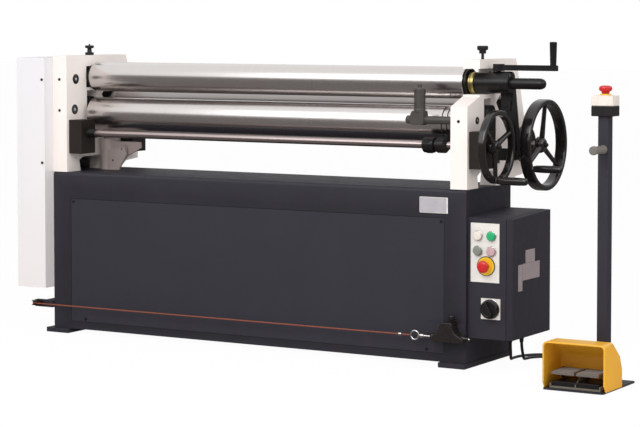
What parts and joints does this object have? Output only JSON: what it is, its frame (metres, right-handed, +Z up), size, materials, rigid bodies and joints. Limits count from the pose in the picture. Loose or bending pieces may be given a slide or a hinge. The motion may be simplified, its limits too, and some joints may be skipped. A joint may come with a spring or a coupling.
{
  "type": "slip roll machine",
  "caption": "Floor-standing motor-driven sheet bending rolls with adjusting handwheels, a swing-out end bearing, a safety rope and a foot-switch column.",
  "frame": {"origin": "on the floor, at the centre of the four anchor holes in the feet", "axes": "+X along the rolls towards the handwheels, +Y to the rear, +Z up"},
  "size_m": [2.4655, 0.778, 1.101],
  "materials": {
    "black_paint": "black satin paint",
    "black_plastic": "moulded",
    "blackwheel": "glossy black",
    "brass": "machined",
    "cable": "round sheathed lead",
    "cover_grey": "light grey sheet metal paint",
    "dark_paint": "charcoal semi-gloss paint",
    "frame_cream": "smooth cream machine paint",
    "green_plastic": "moulded",
    "grey_green_plastic": "moulded",
    "lever_grey": "dark grey paint",
    "light_grey": "grey paint",
    "pink_plastic": "moulded",
    "plate": "brushed plate",
    "red_plastic": "moulded",
    "rope": "red coated wire rope",
    "steel": "ground steel",
    "white_plastic": "moulded",
    "yellow_paint": "smooth yellow paint",
    "yellow_plastic": "moulded"
  },
  "bodies": {
    "base": {"cabinet_shell": "dark_paint", "front_panel": "dark_paint", "feet": "dark_paint", "frame_left": "frame_cream", "frame_right": "frame_cream", "gear_cover": "cover_grey", "electrical_box": "dark_paint", "control_plates": "plate", "gear_motor": "light_grey", "front_worm_boxes": "black_paint", "rear_worm_boxes": "black_paint", "button_bezels": "plate", "stop_ring": "yellow_plastic", "rope_brackets": "black_paint", "rope_switch": "black_paint", "rope_fittings": "steel", "safety_rope": "rope", "screws_and_plugs": "black_plastic", "rear_support": "frame_cream", "swing_bracket": "black_paint", "station_plate": "dark_paint", "station_post": "dark_paint", "station_stop_box": "white_plastic", "pedal_hood": "yellow_paint", "pedal_base": "light_grey", "stop_lead": "cable", "pedal_lead": "cable", "drive_chain": "steel"},
    "top_cradle": {"pivot_bearing": "black_paint", "brass_bush": "brass"},
    "top_roll": {"top_roll": "steel"},
    "lower_lift": {"lower_blocks": "black_paint"},
    "lower_roll": {"lower_roll": "steel", "roll_sprocket": "steel"},
    "drive": {"drive_sprocket": "steel"},
    "rear_lift": {"rear_blocks": "black_paint"},
    "rear_roll": {"rear_roll": "steel"},
    "front_drive": {"front_shaft": "steel", "handwheel_front": "blackwheel"},
    "clutch": {"clutch_sleeve": "black_paint"},
    "front_grip": {"handwheel_front_grip": "blackwheel"},
    "rear_drive": {"rear_shaft": "steel", "handwheel_rear": "blackwheel"},
    "rear_grip": {"handwheel_rear_grip": "blackwheel"},
    "release_bearing": {"swing_bearing": "black_paint"},
    "crank": {"clamp_crank": "black_paint"},
    "lever": {"release_lever": "lever_grey"},
    "screw_left": {"top_screw_left": "black_plastic"},
    "screw_right": {"top_screw_right": "black_plastic"},
    "green_button": {"button_green": "green_plastic"},
    "grey_button": {"button_grey": "grey_green_plastic"},
    "red_button": {"button_red": "pink_plastic"},
    "stop_button": {"stop_button": "red_plastic"},
    "main_switch": {"main_switch": "black_plastic"},
    "door": {"box_door": "dark_paint"},
    "pulley": {"rope_pulley": "black_plastic"},
    "reset": {"rope_reset": "black_plastic"},
    "left_pedal": {"pedal_left": "light_grey"},
    "right_pedal": {"pedal_right": "light_grey"},
    "column_stop": {"station_stop_button": "red_plastic"}
  },
  "joints": [
    {"name": "top_roll_swing", "type": "hinge", "parent": "base", "child": "top_cradle", "pos_m": [-0.8235, 0, 0.959], "axis": [0, 0, 1], "range_deg": [-2.5, 0]},
    {"name": "top_roll_spin", "type": "hinge", "parent": "top_cradle", "child": "top_roll", "pos_m": [0, 0, 0.959], "axis": [1, 0, 0], "continuous": true},
    {"name": "lower_roll_lift", "type": "slide", "parent": "base", "child": "lower_lift", "axis": [0, 0, 1], "range_m": [-0.008, 0.02], "deforming": ["drive_chain"]},
    {"name": "lower_roll_spin", "type": "hinge", "parent": "lower_lift", "child": "lower_roll", "pos_m": [0, -0.008, 0.8185], "axis": [1, 0, 0], "continuous": true},
    {"name": "drive_spin", "type": "hinge", "parent": "base", "child": "drive", "pos_m": [-0.9, -0.008, 0.33], "axis": [1, 0, 0], "continuous": true},
    {"name": "rear_roll_climb", "type": "slide", "parent": "base", "child": "rear_lift", "axis": [0, -0.6293, 0.7771], "range_m": [-0.025, 0.04]},
    {"name": "rear_roll_spin", "type": "hinge", "parent": "rear_lift", "child": "rear_roll", "pos_m": [0, 0.13, 0.85], "axis": [1, 0, 0], "continuous": true},
    {"name": "front_wheel_turn", "type": "hinge", "parent": "base", "child": "front_drive", "pos_m": [0, -0.105, 0.749], "axis": [1, 0, 0], "range_deg": [-577, 1441]},
    {"name": "clutch_slide", "type": "slide", "parent": "front_drive", "child": "clutch", "axis": [1, 0, 0], "range_m": [0, 0.02]},
    {"name": "front_grip_spin", "type": "hinge", "parent": "front_drive", "child": "front_grip", "pos_m": [1, -0.13282, 0.63742], "axis": [1, 0, 0], "continuous": true},
    {"name": "rear_wheel_turn", "type": "hinge", "parent": "base", "child": "rear_drive", "pos_m": [0, 0.22, 0.74], "axis": [1, 0, 0], "range_deg": [-1801, 2881]},
    {"name": "rear_grip_spin", "type": "hinge", "parent": "rear_drive", "child": "rear_grip", "pos_m": [1, 0.0901, 0.665], "axis": [1, 0, 0], "continuous": true},
    {"name": "bearing_swing", "type": "hinge", "parent": "base", "child": "release_bearing", "pos_m": [0.955, 0.0385, 0.715], "axis": [0, 1, 0], "range_deg": [0, 80.1]},
    {"name": "crank_turn", "type": "hinge", "parent": "release_bearing", "child": "crank", "pos_m": [0.916, 0, 1], "axis": [0, 0, 1], "range_deg": [-90, 90]},
    {"name": "lever_swing", "type": "hinge", "parent": "base", "child": "lever", "pos_m": [0.7, -0.15, 0.836], "axis": [1, 0, 0], "range_deg": [0, 90]},
    {"name": "left_screw_turn", "type": "hinge", "parent": "base", "child": "screw_left", "pos_m": [-0.82, 0.017, 1.05], "axis": [0, 0, 1], "continuous": true},
    {"name": "right_screw_turn", "type": "hinge", "parent": "base", "child": "screw_right", "pos_m": [0.85, 0.01, 1.05], "axis": [0, 0, 1], "continuous": true},
    {"name": "green_button_push", "type": "slide", "parent": "base", "child": "green_button", "axis": [0, 1, 0], "range_m": [0, 0.004], "stiffness_N_per_m": 600},
    {"name": "grey_button_push", "type": "slide", "parent": "base", "child": "grey_button", "axis": [0, 1, 0], "range_m": [0, 0.004], "stiffness_N_per_m": 600},
    {"name": "red_button_push", "type": "slide", "parent": "base", "child": "red_button", "axis": [0, 1, 0], "range_m": [0, 0.004], "stiffness_N_per_m": 600},
    {"name": "stop_button_push", "type": "slide", "parent": "base", "child": "stop_button", "axis": [0, 1, 0], "range_m": [0, 0.006], "stiffness_N_per_m": 1500},
    {"name": "main_switch_turn", "type": "hinge", "parent": "base", "child": "main_switch", "pos_m": [0.964, -0.15, 0.208], "axis": [0, 1, 0], "range_deg": [0, 90]},
    {"name": "door_swing", "type": "hinge", "parent": "base", "child": "door", "pos_m": [1.0185, 0.15, 0.3], "axis": [0, 0, 1], "range_deg": [0, 110]},
    {"name": "pulley_spin", "type": "hinge", "parent": "base", "child": "pulley", "pos_m": [-0.926, -0.168, 0.105], "axis": [0, 0, 1], "continuous": true},
    {"name": "reset_push", "type": "slide", "parent": "base", "child": "reset", "axis": [0, 0, 1], "range_m": [-0.003, 0], "stiffness_N_per_m": 500},
    {"name": "left_pedal_press", "type": "hinge", "parent": "base", "child": "left_pedal", "pos_m": [1.33, -0.285, 0.052], "axis": [1, 0, 0], "range_deg": [0, 9], "stiffness_Nm_per_rad": 20, "springref_deg": -5.73},
    {"name": "right_pedal_press", "type": "hinge", "parent": "base", "child": "right_pedal", "pos_m": [1.42, -0.285, 0.052], "axis": [1, 0, 0], "range_deg": [0, 9], "stiffness_Nm_per_rad": 20, "springref_deg": -5.73},
    {"name": "column_stop_push", "type": "slide", "parent": "base", "child": "column_stop", "axis": [0, 0, 1], "range_m": [-0.006, 0], "stiffness_N_per_m": 1500}
  ],
  "couplings": [
    {"joint": "front_wheel_turn", "follows": "lower_roll_lift", "rad_per_m": 1256.6},
    {"joint": "rear_wheel_turn", "follows": "rear_roll_climb", "rad_per_m": 1256.6},
    {"joint": "bearing_swing", "follows": "top_roll_swing", "ratio": -32},
    {"joint": "drive_spin", "follows": "lower_roll_spin", "ratio": 1}
  ]
}
